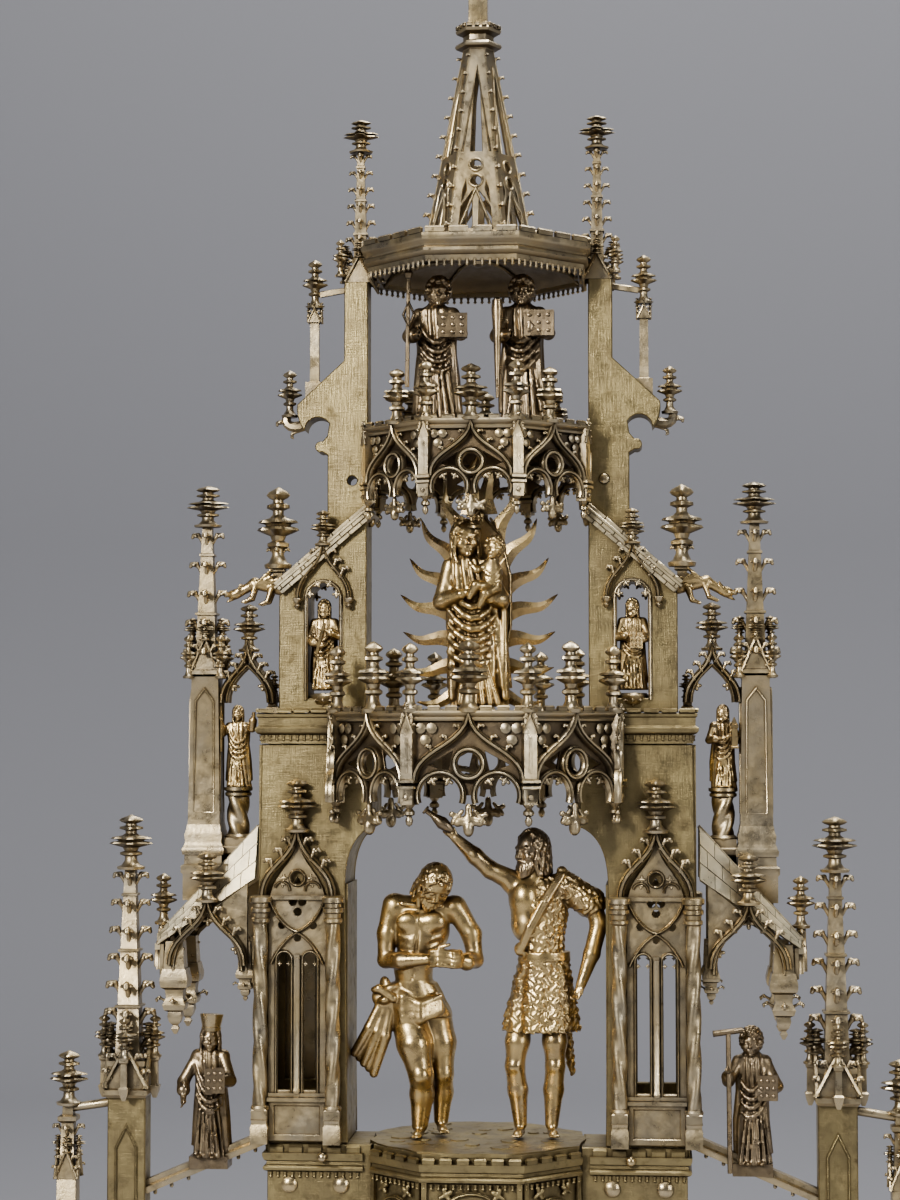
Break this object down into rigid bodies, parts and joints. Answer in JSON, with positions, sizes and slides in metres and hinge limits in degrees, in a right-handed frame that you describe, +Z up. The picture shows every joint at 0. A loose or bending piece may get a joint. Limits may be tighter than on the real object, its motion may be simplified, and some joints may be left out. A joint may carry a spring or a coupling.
{
  "type": "monstrance",
  "caption": "Tall Gothic tower monstrance in gilt metal: lobed foot, stem, glass vessel with a hinged host holder, and a pinnacled tower with figures that lifts off.",
  "frame": {"origin": "centre of the foot's underside, on the table", "axes": "+Z up along the tower, +X to the viewer's right, front faces -Y"},
  "size_m": [0.292, 0.1868, 0.902],
  "materials": {
    "gilt_tracery": "cast and pierced silver-gilt, worn on the edges and dark in the recesses",
    "gilt_figure": "cast and polished silver-gilt, warm",
    "gilt_plate": "flat silver-gilt sheet with fine scratches and an olive tarnish",
    "gilt_roof": "chased silver-gilt roof with a brick pattern",
    "gilt_smooth": "smooth polished silver-gilt",
    "glass": "clear polished glass"
  },
  "bodies": {
    "base": {"foot_flange": "gilt_tracery", "foot_dome": "gilt_tracery", "stem": "gilt_tracery", "knop": "gilt_tracery", "calyx": "gilt_tracery", "base_platform": "gilt_tracery", "platform_brackets": "gilt_tracery", "vessel_seat": "gilt_smooth", "lunette_socket": "gilt_smooth", "lower_pier_left": "gilt_plate", "lower_pier_right": "gilt_plate", "buttress_left": "gilt_plate", "buttress_right": "gilt_plate", "buttress_spirelets": "gilt_tracery", "outposts": "gilt_tracery", "flying_bars": "gilt_tracery", "bar_saints": "gilt_figure", "base_wedges": "gilt_tracery"},
    "lunette": {"lunette_back": "gilt_smooth", "lunette_pin": "gilt_smooth"},
    "lunette_leaf": {"lunette_leaf": "gilt_smooth"},
    "tower": {"block_cornices": "gilt_tracery", "block_middle": "gilt_plate", "block_sides": "gilt_plate", "canopy_gables": "gilt_tracery", "canopy_roofs": "gilt_roof", "copings": "gilt_roof", "corner_beasts": "gilt_figure", "figure_baptist": "gilt_figure", "figure_christ": "gilt_figure", "figure_virgin": "gilt_figure", "finials": "gilt_tracery", "glass_cylinder": "glass", "glass_rim": "gilt_tracery", "ledges": "gilt_plate", "lower_gallery": "gilt_tracery", "niche_piers": "gilt_plate", "pendants": "gilt_tracery", "pier_left": "gilt_plate", "pier_right": "gilt_plate", "pier_spirelets": "gilt_tracery", "rivets_and_pins": "gilt_tracery", "saint_columns": "gilt_tracery", "side_canopies": "gilt_tracery", "side_gables": "gilt_tracery", "small_saints": "gilt_figure", "spire": "gilt_tracery", "spire_collar": "gilt_tracery", "stage_floor": "gilt_tracery", "sunburst": "gilt_figure", "tall_shafts": "gilt_plate", "top_canopy": "gilt_tracery", "top_cross": "gilt_tracery", "tower_wedges": "gilt_tracery", "tracery_windows": "gilt_tracery", "upper_figures": "gilt_figure", "upper_gallery": "gilt_tracery", "upper_piers": "gilt_plate", "vessel_cover": "gilt_smooth", "window_columns": "gilt_tracery"}
  },
  "joints": [
    {"name": "tower_lift", "type": "slide", "parent": "base", "child": "tower", "axis": [0, 0, 1], "range_m": [0, 0.15]},
    {"name": "lunette_lift", "type": "slide", "parent": "base", "child": "lunette", "axis": [0, 0, 1], "range_m": [0, 0.014]},
    {"name": "lunette_hinge", "type": "hinge", "parent": "lunette", "child": "lunette_leaf", "pos_m": [0, -0.0034, 0.328], "axis": [1, 0, 0], "range_deg": [0, 35]}
  ]
}
